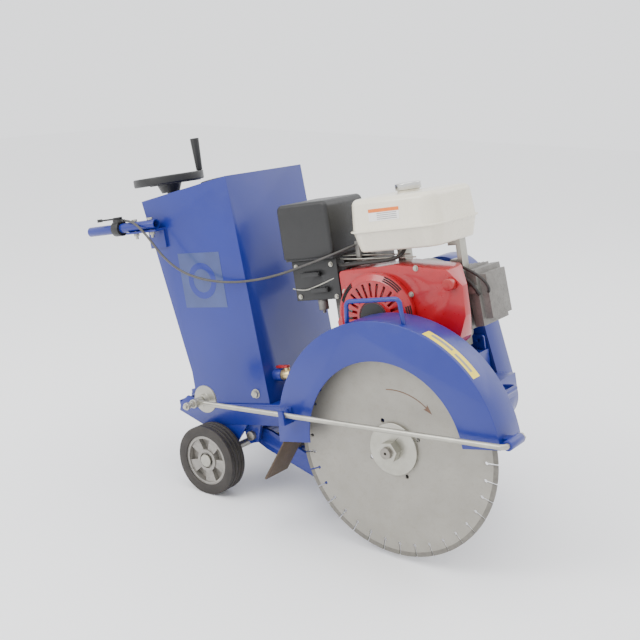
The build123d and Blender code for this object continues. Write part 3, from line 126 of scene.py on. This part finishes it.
cable_sheath = mottled("cable_sheath", (0.045, 0.042, 0.038), 0.42, grain=0.3, grain_size=0.0015,
                       dirt=(0.16, 0.14, 0.11))
cable_curve = bpy.data.curves.new("throttle_cable_line", "CURVE")
cable_curve.dimensions = "3D"
cable_line = cable_curve.splines.new("NURBS")
cable_line.points.add(len(cable_route) - 1)
for point, place in zip(cable_line.points, cable_route):
    point.co = (*(LEVEL @ Vector(place)), 1.0)
cable_line.order_u = 3
cable_line.use_endpoint_u = True
cable_curve.resolution_u = 16
cable_curve.bevel_depth = 0.0032
cable_curve.bevel_resolution = 5
cable_curve.use_fill_caps = True
cable = bpy.data.objects.new("throttle_cable_sheath", cable_curve)
bpy.context.collection.objects.link(cable)
cable.data.materials.append(cable_sheath)
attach(cable, "chassis")
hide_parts("throttle_cable")

# ---- Floor and light -----------------------------------------------------------------------
# White seamless floor under bright, even studio light: a large soft lamp above the blade
# side, a weaker one behind and one overhead, each aimed at the middle of the saw.
aim = Vector((0.0, 0.0, 0.4))
floor_paint = bpy.data.materials.new("floor_paint")
floor_paint.use_nodes = True
floor_shader = floor_paint.node_tree.nodes["Principled BSDF"]
floor_shader.inputs["Base Color"].default_value = (0.95, 0.95, 0.95, 1)
floor_shader.inputs["Roughness"].default_value = 0.9
floor_mesh = bpy.data.meshes.new("floor")
floor_mesh.from_pydata([(-9, -9, 0), (9, -9, 0), (9, 9, 0), (-9, 9, 0)], [], [(0, 1, 2, 3)])
floor = bpy.data.objects.new("floor", floor_mesh)
floor.data.materials.append(floor_paint)
bpy.context.collection.objects.link(floor)
world = bpy.data.worlds.new("studio")
bpy.context.scene.world = world
world.use_nodes = True
world.node_tree.nodes["Background"].inputs["Color"].default_value = (0.97, 0.98, 1.0, 1)
world.node_tree.nodes["Background"].inputs["Strength"].default_value = 1.75
for lamp_name, at, power, size in (("key", (-1.2, -2.6, 2.6), 70, 1.8), ("back", (1.5, 2.5, 2.8), 30, 2.5),
                                   ("top", (0.3, -0.4, 3.4), 40, 2.2)):
    lamp_data = bpy.data.lights.new(lamp_name, "AREA")
    lamp_data.energy = power
    lamp_data.size = size
    lamp = bpy.data.objects.new(lamp_name, lamp_data)
    lamp.location = at
    lamp.rotation_mode = "QUATERNION"
    lamp.rotation_quaternion = (aim - Vector(at)).to_track_quat("-Z", "Y")
    bpy.context.collection.objects.link(lamp)

# ---- Blue chassis, deck and welded brackets ------------------------------------------------
# Folded and welded steel, sprayed with blue enamel after welding. Folded edges are rounded,
# and dust and small stone chips have settled into the paint.
blue_enamel = mottled("blue_enamel", (0.006, 0.016, 0.19), 0.34, vary=0.07, size=0.16, grain=0.03,
                      grain_size=0.003, coat=0.12, dirt=(0.014, 0.026, 0.17), dirt_share=0.3)


def add_piece(name, bm, material, body, stands_for=(), angle=35.0):
    """Makes the object of a mesh, smooth except over sharp edges, riding on its body."""
    bmesh.ops.recalc_face_normals(bm, faces=bm.faces)
    mesh = bpy.data.meshes.new(name)
    bm.to_mesh(mesh)
    bm.free()
    mesh.shade_smooth()
    mesh.set_sharp_from_angle(angle=math.radians(angle))
    piece = bpy.data.objects.new(name, mesh)
    bpy.context.collection.objects.link(piece)
    for one in (material if isinstance(material, (list, tuple)) else (material,)):
        piece.data.materials.append(one)
    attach(piece, body)
    if stands_for:
        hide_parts(*stands_for)
    return piece


def soften(bm, width, edges=None, segments=2, angle=28.0):
    """Rounds the sharp edges of a mesh."""
    if edges is None:
        limit = math.radians(angle)
        edges = [e for e in bm.edges if len(e.link_faces) == 2 and e.calc_face_angle(0) > limit]
    bmesh.ops.bevel(bm, geom=edges, offset=width, offset_type="OFFSET", segments=segments,
                    profile=0.5, affect="EDGES", clamp_overlap=True, material=-1)


def refine(node, material, body, width=0.0008, segments=2):
    """The CAD node again with flat faces joined up and its sharp edges rounded."""
    bm = bmesh.new()
    bm.from_mesh(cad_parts[node].data)
    bmesh.ops.remove_doubles(bm, verts=bm.verts, dist=0.00001)
    bmesh.ops.dissolve_limit(bm, angle_limit=math.radians(0.4), verts=bm.verts, edges=bm.edges)
    if width:
        soften(bm, width, segments=segments)
    return add_piece(node + "_finished", bm, material, body, (node,))


for node, body in (("chassis_frame", "chassis"), ("deck_plate", "chassis"), ("screw_brackets", "chassis"),
                   ("swing_arm", "lift_arm"), ("engine_base", "chassis"), ("guard_fittings", "chassis"),
                   ("handlebars", "chassis"), ("belt_guard", "chassis")):
    refine(node, blue_enamel, body, 0.001)
refine("water_tank", blue_enamel, "chassis", 0.0022, 3)
refine("blade_guard", blue_enamel, "chassis", 0.001)

# ---- Plated and turned steel ---------------------------------------------------------------
# Zinc-plated rods, bolts, washers and flanges, a little dulled, and bare turned shafts.
zinc = mottled("zinc_plate", (0.40, 0.39, 0.34), 0.36, metal=0.8, vary=0.10, size=0.02, grain=0.2,
               grain_size=0.0009, dirt=(0.35, 0.32, 0.26), dirt_share=0.4)
turned_steel = mottled("turned_steel", (0.26, 0.245, 0.22), 0.38, metal=0.9, vary=0.12, size=0.012,
                       grain=0.25, grain_size=0.0007, dirt=(0.20, 0.13, 0.08), dirt_share=0.45)
for node, body in (("rear_axle", "chassis"), ("frame_bolts", "chassis"), ("blade_clamp", "blade_spindle"),
                   ("pointer_rod", "pointer"), ("pointer_wheel", "guide_wheel"),
                   ("pointer_fasteners", "pointer"), ("engine_fixings", "chassis")):
    refine(node, zinc, body, 0.0006)
for node, body in (("front_axle", "lift_arm"), ("pivot_shaft", "chassis"), ("lead_screw", "depth_wheel"),
                   ("screw_nut", "lift_nut"), ("spindle", "blade_spindle"), ("crankshaft", "engine_crank")):
    refine(node, turned_steel, body, 0.0006)

# ---- Castings and bearings -----------------------------------------------------------------
# Grey cast iron bearing blocks and pulleys, sand-cast and machined on their faces.
cast_iron = mottled("cast_iron", (0.05, 0.05, 0.05), 0.6, metal=0.3, vary=0.2, size=0.02, grain=0.6,
                    grain_size=0.0015, dirt=(0.16, 0.11, 0.07))
for node, body in (("spindle_bearings", "chassis"), ("spindle_pulley", "blade_spindle"),
                   ("engine_pulley", "engine_crank"), ("front_wheel_right", "front_wheel_right"),
                   ("front_wheel_left", "front_wheel_left")):
    refine(node, cast_iron, body, 0.0006)

# ---- Rear wheels ---------------------------------------------------------------------------
# Solid rubber tyres with three grooves, pressed on cast aluminium hubs with five spokes.
tyre_rubber = mottled("tyre_rubber", (0.024, 0.020, 0.017), 0.62, vary=0.25, size=0.03, grain=0.5,
                      grain_size=0.0015, dirt=(0.075, 0.06, 0.045), dirt_share=0.5)
hub_casting = mottled("hub_casting", (0.30, 0.285, 0.26), 0.42, metal=0.65, vary=0.12, size=0.02, grain=0.4,
                      grain_size=0.0012, dirt=(0.07, 0.06, 0.045), dirt_share=0.7)
for side in ("right", "left"):
    refine("rear_tyre_" + side, tyre_rubber, "rear_wheel_" + side, 0.0015)
    refine("rear_hub_" + side, hub_casting, "rear_wheel_" + side, 0.001)

# ---- Blade ---------------------------------------------------------------------------------
# Ground steel disc with laser-cut slots and sintered diamond segments around its rim.
blade_steel = mottled("blade_steel", (0.30, 0.285, 0.25), 0.5, metal=0.45, vary=0.07, size=0.05, grain=0.15,
                      grain_size=0.0012, dirt=(0.22, 0.195, 0.16), dirt_share=0.35)
segment_metal = mottled("segment_metal", (0.17, 0.16, 0.14), 0.62, metal=0.4, vary=0.15, size=0.008,
                        grain=0.8, grain_size=0.0008, dirt=(0.16, 0.14, 0.11), dirt_share=0.5)
refine("blade_core", blade_steel, "blade_spindle", 0.0)
refine("diamond_segments", segment_metal, "blade_spindle", 0.0)

# ---- Plastic and rubber fittings -----------------------------------------------------------
# Black moulded handwheel, caps, levers and housings; rubber flap, hose and belts.
black_plastic = mottled("black_plastic", (0.009, 0.009, 0.009), 0.42, vary=0.15, size=0.03, grain=0.35,
                        grain_size=0.0012, dirt=(0.03, 0.028, 0.025), dirt_share=0.3)
rubber = mottled("rubber", (0.02, 0.018, 0.016), 0.62, vary=0.2, size=0.02, grain=0.4, grain_size=0.001,
                 dirt=(0.14, 0.12, 0.1))
flap_rubber = mottled("flap_rubber", (0.055, 0.035, 0.02), 0.7, vary=0.2, size=0.02, grain=0.5,
                      grain_size=0.0015, dirt=(0.12, 0.085, 0.05), dirt_share=0.5)
red_plastic = mottled("red_plastic", (0.32, 0.008, 0.008), 0.35, vary=0.1, size=0.02, grain=0.1,
                      grain_size=0.001, coat=0.2)
for node, body in (("handwheel", "depth_wheel"), ("crank_grip", "crank_handle"),
                   ("tank_filler_cap", "water_filler"), ("throttle_clamp", "chassis"),
                   ("throttle_lever", "throttle"), ("recoil_grip", "starter"),
                   ("control_panel", "chassis"), ("choke_lever", "choke"), ("fuel_valve_lever", "fuel_tap"),
                   ("air_cleaner_cover", "chassis")):
    refine(node, black_plastic, body, 0.001)
refine("water_hose", rubber, "chassis", 0.0004)
refine("drive_belts", rubber, "chassis", 0.0006)
refine("mud_flap", flap_rubber, "chassis", 0.0006)
for node, body in (("ball_valve_lever", "valve_handle"), ("engine_switch", "switch")):
    refine(node, red_plastic, body, 0.001)
brass = mottled("brass", (0.72, 0.56, 0.27), 0.33, metal=0.9, vary=0.12, size=0.01, grain=0.2,
                grain_size=0.0007, dirt=(0.3, 0.2, 0.1))
refine("ball_valve_body", brass, "chassis", 0.0006)

# ---- Engine --------------------------------------------------------------------------------
# Die-cast aluminium engine with a red pressed-steel cowl and a cream fuel tank.
die_cast = mottled("die_cast", (0.19, 0.18, 0.165), 0.5, metal=0.5, vary=0.15, size=0.03, grain=0.6,
                   grain_size=0.0016, dirt=(0.05, 0.042, 0.035), dirt_share=0.6)
red_enamel = mottled("red_enamel", (0.36, 0.004, 0.009), 0.30, vary=0.08, size=0.05, grain=0.1,
                     grain_size=0.003, coat=0.4, dirt=(0.12, 0.008, 0.008), dirt_share=0.35)
cream_enamel = mottled("cream_enamel", (0.74, 0.69, 0.56), 0.28, vary=0.03, size=0.08, grain=0.06,
                       grain_size=0.003, coat=0.4, dirt=(0.60, 0.54, 0.42), dirt_share=0.25)
bright_metal = mottled("bright_metal", (0.6, 0.6, 0.58), 0.22, metal=1.0, vary=0.06, size=0.02, grain=0.1,
                       grain_size=0.0008, dirt=(0.4, 0.38, 0.34))
dull_steel = mottled("dull_steel", (0.12, 0.115, 0.11), 0.55, metal=0.6, vary=0.2, size=0.02, grain=0.4,
                     grain_size=0.001, dirt=(0.18, 0.11, 0.07))
filter_foam = mottled("filter_foam", (0.05, 0.05, 0.05), 0.9, vary=0.3, size=0.004, grain=0.8,
                      grain_size=0.0015)
for node in ("crankcase", "cylinder", "carburettor"):
    refine(node, die_cast, "chassis", 0.0012)
for node in ("fan_shroud", "recoil_cover"):
    refine(node, red_enamel, "chassis", 0.001)
refine("fuel_tank", cream_enamel, "chassis", 0.0008)
refine("fuel_cap", bright_metal, "fuel_filler", 0.0008)
refine("muffler", dull_steel, "chassis", 0.0008)
refine("air_filter", filter_foam, "chassis", 0.0004)

# ---- Louvres, badge and bolts of the recoil starter ------------------------------------------
# Two groups of curved slots outside the radial ones, drawn as near-black strips of painted shade,
# a plain black badge in the middle and three small plated screws round the housing's rim.
SHAFT = (-61.0, 279.0)


def arc_strip(bm, centre, r0, r1, start, end, y0, y1, steps=20):
    """A flat curved strip about a Y axis; y0 is at the inner radius and the far side is at y1."""
    rings = []
    for k in range(steps + 1):
        angle = math.radians(start + (end - start) * k / steps)
        spot = []
        for r, y in ((r0, y0), (r1, y0), (r1, y1), (r0, y1)):
            spot.append(bm.verts.new(LEVEL @ Vector((centre[0] + r * math.cos(angle), y,
                                                     centre[1] + r * math.sin(angle)))))
        rings.append(spot)
    for a, b in zip(rings, rings[1:]):
        for i in range(4):
            j = (i + 1) % 4
            bm.faces.new((a[i], a[j], b[j], b[i]))
    bm.faces.new(rings[0])
    bm.faces.new(list(reversed(rings[-1])))


# Near-black strips in the louvres: painted shade standing in for the shaded inside of the slots.
louvre_painted_shade = mottled("louvre_painted_shade", (0.004, 0.003, 0.003), 0.8, vary=0.3, size=0.01, grain=0.3)
louvre_width = 2.4
louvre_half_span = 15
louvres = bmesh.new()
for centre_angle in (52, -2, 140, 205, 290):
    for r, y in ((86.5, 86.0), (90.5, 88.6), (94.5, 91.2)):
        arc_strip(louvres, SHAFT, r, r + louvre_width, centre_angle - louvre_half_span,
                  centre_angle + louvre_half_span, y, y + 2.5)
add_piece("recoil_louvres", louvres, louvre_painted_shade, "chassis")
badge = bmesh.new()
for r0, r1, y in ((0.5, 34.0, 80.4), (35.0, 37.5, 80.2)):
    arc_strip(badge, SHAFT, r0, r1, 0, 360, y, y + 1.4, 48)
add_piece("recoil_badge", badge, black_plastic, "chassis")


def bolt_head(bm, x, y, z, r, height):
    """A hexagonal head on a washer, facing -Y."""
    for sides, radius, y0, y1 in ((24, r * 1.45, y - 1.2, y), (6, r, y - 1.2 - height, y - 1.2)):
        near = []
        far = []
        for k in range(sides):
            angle = 2 * math.pi * k / sides + 0.3
            for row, yy in ((near, y0), (far, y1)):
                row.append(bm.verts.new(LEVEL @ Vector((x + radius * math.cos(angle), yy,
                                                        z + radius * math.sin(angle)))))
        bm.faces.new(near)
        bm.faces.new(list(reversed(far)))
        for k in range(sides):
            j = (k + 1) % sides
            bm.faces.new((near[k], far[k], far[j], near[j]))


cowl_face = 105.0
bolt_circle = 103.0
cowl_bolts = bmesh.new()
for angle in (25, 145, 265):
    bolt_head(cowl_bolts, SHAFT[0] + bolt_circle * math.cos(math.radians(angle)), cowl_face,
              SHAFT[1] + bolt_circle * math.sin(math.radians(angle)), 4.5, 4.0)
bolt_head(cowl_bolts, 53.0, cowl_face, 380.0, 4.5, 4.0)
add_piece("cowl_bolts", cowl_bolts, zinc, "chassis")

# ---- Labels --------------------------------------------------------------------------------
# Plain stickers: one with an orange head on the fuel tank, a narrow white one on the cowl,
# yellow strips on the blade guard, and a painted arrow that shows which way
# the blade turns. None of them carries any words.


def sheet(bm, corners):
    """A thin four-cornered plate; the first corner's face looks towards -Y."""
    front = [bm.verts.new(LEVEL @ Vector(c)) for c in corners]
    back = [bm.verts.new(LEVEL @ (Vector(c) + Vector((0, 0.5, 0)))) for c in corners]
    bm.faces.new(front)
    bm.faces.new(list(reversed(back)))
    for i in range(4):
        j = (i + 1) % 4
        bm.faces.new((front[i], back[i], back[j], front[j]))


def tank_y(z):
    """Just outside the fuel tank's near face, which leans in above the seam."""
    seam_z = 472.0
    face_y = 90.0
    lean = math.tan(math.radians(5))
    return face_y + (z - seam_z) * lean - 0.5


white_label = mottled("white_label", (0.78, 0.77, 0.74), 0.4, vary=0.03, size=0.01, grain=0.05)
orange_label = mottled("orange_label", (0.72, 0.16, 0.012), 0.4, vary=0.06, size=0.01, grain=0.05)
yellow_label = mottled("yellow_label", (0.80, 0.62, 0.02), 0.4, vary=0.06, size=0.01, grain=0.05)
grey_print = mottled("grey_print", (0.22, 0.21, 0.22), 0.5, vary=0.2, size=0.004, grain=0.05)
fuel_label = bmesh.new()
sheet(fuel_label, [(x, tank_y(z), z) for x, z in ((-42, 493), (38, 493), (38, 512), (-42, 512))])
add_piece("fuel_label", fuel_label, white_label, "chassis")
fuel_band = bmesh.new()
sheet(fuel_band, [(x, tank_y(z), z) for x, z in ((-42, 512.2), (38, 512.2), (38, 520), (-42, 520))])
add_piece("fuel_label_band", fuel_band, orange_label, "chassis")
fuel_lines = bmesh.new()
for k in range(4):
    z = 496.0 + 4.2 * k
    sheet(fuel_lines, [(x, tank_y(corner_z) - 0.25, corner_z)
                       for x, corner_z in ((-20, z), (32, z), (32, z + 1.4), (-20, z + 1.4))])
add_piece("fuel_label_lines", fuel_lines, grey_print, "chassis")
cowl_label = bmesh.new()
sheet(cowl_label, [(-139, 104.5, 318), (-131, 104.5, 318), (-131, 104.5, 350), (-139, 104.5, 350)])
add_piece("cowl_label", cowl_label, white_label, "chassis")
guard_label = bmesh.new()
guard_marks = bmesh.new()
for bm, angle0, angle1, y0, y1, lift in ((guard_label, 33.0, 62.0, -36.0, -8.0, 0.4),
                                         (guard_marks, 36.0, 46.0, -28.0, -21.0, 0.7),
                                         (guard_marks, 48.0, 59.0, -24.0, -15.0, 0.7)):
    arc_strip(bm, (0.0, 10.0), 284.6, 285.0 + lift, angle0, angle1, y0, y1, 24)
add_piece("guard_label", guard_label, yellow_label, "chassis")
add_piece("guard_label_marks", guard_marks, grey_print, "chassis")
arrow_paint = mottled("arrow_paint", (0.14, 0.075, 0.045), 0.6, vary=0.2, size=0.01, grain=0.1)
arrow_tail = 90.0
arrow_neck = 44.0
arrow = bmesh.new()
arc_strip(arrow, (0.0, 0.0), 132.6, 135.0, arrow_neck, arrow_tail, -0.3, 0.4, 28)
head = []
for radius, angle in ((133.5, 36.0), (141.0, 45.5), (133.8, arrow_neck), (126.0, 45.5)):
    turn = math.radians(angle)
    head.append((radius * math.cos(turn), -0.3, radius * math.sin(turn)))
sheet(arrow, head)
add_piece("blade_arrow", arrow, arrow_paint, "blade_spindle")
plate_paint = mottled("plate_paint", (0.030, 0.050, 0.17), 0.35, vary=0.15, size=0.06, grain=0.05, coat=0.2)
side_plate = bmesh.new()
sheet(side_plate, [(-634, 84.5, 326), (-494, 84.5, 321), (-494, 84.5, 461), (-634, 84.5, 466)])
add_piece("side_plate", side_plate, plate_paint, "chassis")
plate_disc = bmesh.new()
arc_strip(plate_disc, (-564.0, 392.0), 30.0, 46.0, 0, 360, 84.2, 84.7, 48)
add_piece("side_plate_ring", plate_disc, blue_enamel, "chassis")

# ---- Hoses, governor rods and ignition lead -------------------------------------------------
# Black fuel hose and plated rods over the cowl, the ignition lead from the cylinder head and
# a breather hose that hangs beside the casting.


def tube(name, points, radius, material):
    """A round hose or rod along smooth points."""
    curve = bpy.data.curves.new(name + "_line", "CURVE")
    curve.dimensions = "3D"
    line = curve.splines.new("NURBS")
    line.points.add(len(points) - 1)
    for spot, place in zip(line.points, points):
        spot.co = (*(LEVEL @ Vector(place)), 1.0)
    line.order_u = 3
    line.use_endpoint_u = True
    curve.resolution_u = 10
    curve.bevel_depth = radius / 1000
    curve.bevel_resolution = 4
    curve.use_fill_caps = True
    piece = bpy.data.objects.new(name, curve)
    bpy.context.collection.objects.link(piece)
    piece.data.materials.append(material)
    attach(piece, "chassis")
    return piece


tube("fuel_hose", [(-172, 120, 408), (-160, 118, 396), (-120, 118, 399), (-60, 120, 400), (-10, 122, 402),
                   (14, 130, 414), (10, 150, 432)], 4.2, rubber)
tube("governor_rod", [(-160, 128, 412), (-90, 128, 407), (-20, 130, 405), (40, 134, 402)], 1.8, zinc)
tube("governor_spring_rod", [(-165, 140, 418), (-80, 142, 414), (20, 146, 408)], 1.5, zinc)
tube("ignition_lead", [(158, 226, 300), (172, 208, 306), (168, 196, 330), (140, 196, 352), (108, 200, 366)],
     3.4, rubber)
tube("breather_hose", [(96, 204, 344), (118, 202, 338), (136, 202, 318), (146, 206, 296)],
     4.0, rubber)
tube("carburettor_rod", [(-300, 112, 352), (-270, 106, 346), (-230, 104, 352), (-170, 110, 372)],
     1.8, zinc)

# ---- Small controls under the air cleaner ---------------------------------------------------
# Plated screws at the corners of the black control housing, and the bolts on the grey
# casting beside the cowl, towards the nose.
control_bolts = bmesh.new()
for x, z in ((-278.0, 404.0), (-176.0, 404.0), (-278.0, 332.0), (-172.0, 328.0)):
    bolt_head(control_bolts, x, 108.0, z, 4.0, 3.0)
add_piece("control_bolts", control_bolts, zinc, "chassis")
case_bolts = bmesh.new()
for x, z in ((44.0, 236.0), (60.0, 262.0), (60.0, 306.0), (44.0, 330.0), (98.0, 240.0), (98.0, 318.0)):
    bolt_head(case_bolts, x, 212.0, z, 5.0, 4.5)
add_piece("case_bolts", case_bolts, zinc, "chassis")
